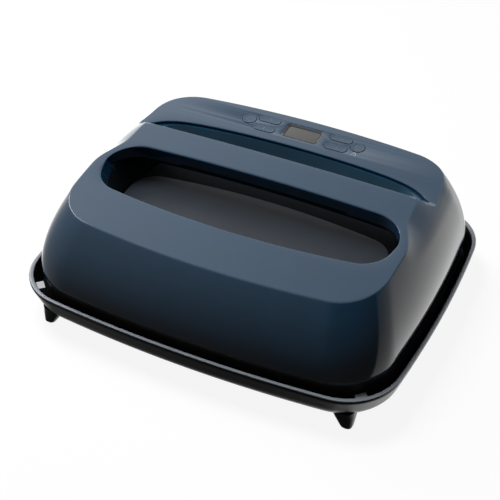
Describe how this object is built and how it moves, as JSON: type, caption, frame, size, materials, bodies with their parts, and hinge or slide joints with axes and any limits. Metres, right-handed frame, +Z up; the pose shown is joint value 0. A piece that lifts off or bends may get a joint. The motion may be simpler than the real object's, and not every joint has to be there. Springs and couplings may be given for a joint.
{
  "type": "handheld heat press",
  "caption": "handheld heat press with a bridge handle over a grip well and a button panel, resting in an insulated base tray",
  "frame": {"origin": "on the table under the middle of the base tray", "axes": "+X to the right of the user, +Y to the rear, +Z up"},
  "size_m": [0.348, 0.283, 0.1149],
  "materials": {
    "tray_plastic": "satin black moulded plastic",
    "foot_rubber": "matt black rubber",
    "guide_silicone": "light grey silicone",
    "rest_fabric": "woven heat resistant mat",
    "skirt_plastic": "dark heat resistant plastic",
    "shell_gloss": "glossy deep blue moulded plastic",
    "handle_plastic": "dark plastic",
    "grip_soft": "matt charcoal insert",
    "plate_aluminium": "machined and coated aluminium",
    "heater_steel": "sheathed heater tube",
    "ceramic_white": "white ceramic",
    "screw_steel": "zinc plated steel",
    "sheet_steel": "galvanised sheet",
    "insulation": "glass fibre needle mat",
    "display_frame": "dark gloss frame",
    "display_glass": "smoked lens over the display",
    "module_dark": "black moulded plastic",
    "board_green": "green solder mask",
    "terminal_grey": "grey plastic",
    "lead_sleeve": "silicone sleeve"
  },
  "bodies": {
    "base": {"base_tray": "tray_plastic", "base_rest_pad": "rest_fabric", "corner_guides": "guide_silicone", "foot_screws": "screw_steel", "foot_front_left": "tray_plastic", "foot_front_right": "tray_plastic", "foot_pad_front_left": "foot_rubber", "foot_pad_front_right": "foot_rubber", "foot_pad_rear_left": "foot_rubber", "foot_pad_rear_right": "foot_rubber", "foot_rear_left": "tray_plastic", "foot_rear_right": "tray_plastic"},
    "press": {"buzzer": "module_dark", "capacitor": "plate_aluminium", "chassis_plate": "sheet_steel", "control_board": "board_green", "control_board_screws": "screw_steel", "control_panel": "shell_gloss", "control_ribbon": "terminal_grey", "cord_clamp": "module_dark", "cord_gland": "module_dark", "display_bezel": "display_frame", "display_window": "display_glass", "grip_pad": "grip_soft", "grip_tub": "handle_plastic", "handle_cover": "handle_plastic", "handle_screws": "screw_steel", "heat_plate": "plate_aluminium", "heat_shield": "sheet_steel", "heater_leads": "lead_sleeve", "heater_terminals": "ceramic_white", "heating_element": "heater_steel", "housing": "shell_gloss", "housing_screws": "screw_steel", "insulation_blanket": "insulation", "lcd_module": "module_dark", "mains_terminal": "terminal_grey", "panel_screws": "screw_steel", "plate_standoffs": "screw_steel", "power_board": "board_green", "power_board_screws": "screw_steel", "relay": "module_dark", "skirt_ring": "skirt_plastic", "standoff_screws": "screw_steel", "tact_switches": "module_dark", "temperature_sensor": "heater_steel", "thermal_cutoff": "heater_steel", "transformer": "module_dark", "triac_heatsink": "plate_aluminium", "tub_screws": "screw_steel"},
    "button_minus": {"button_minus": "shell_gloss"},
    "button_plus": {"button_plus": "shell_gloss"},
    "button_power": {"button_power": "shell_gloss"},
    "button_start": {"button_start": "shell_gloss"},
    "button_temperature": {"button_temperature": "shell_gloss"},
    "button_timer": {"button_timer": "shell_gloss"}
  },
  "joints": [
    {"name": "press_lift", "type": "slide", "parent": "base", "child": "press", "axis": [0, 0, 1], "range_m": [0, 0.15]},
    {"name": "button_minus_push", "type": "slide", "parent": "press", "child": "button_minus", "axis": [0, 0.0599, -0.9982], "range_m": [0, 0.0006], "stiffness_N_per_m": 1200},
    {"name": "button_plus_push", "type": "slide", "parent": "press", "child": "button_plus", "axis": [0, 0.0599, -0.9982], "range_m": [0, 0.0006], "stiffness_N_per_m": 1200},
    {"name": "button_power_push", "type": "slide", "parent": "press", "child": "button_power", "axis": [0, 0.0599, -0.9982], "range_m": [0, 0.0006], "stiffness_N_per_m": 1200},
    {"name": "button_start_push", "type": "slide", "parent": "press", "child": "button_start", "axis": [0, 0.0599, -0.9982], "range_m": [0, 0.0006], "stiffness_N_per_m": 1200},
    {"name": "button_temperature_push", "type": "slide", "parent": "press", "child": "button_temperature", "axis": [0, 0.0599, -0.9982], "range_m": [0, 0.0006], "stiffness_N_per_m": 1200},
    {"name": "button_timer_push", "type": "slide", "parent": "press", "child": "button_timer", "axis": [0, 0.0599, -0.9982], "range_m": [0, 0.0006], "stiffness_N_per_m": 1200}
  ]
}
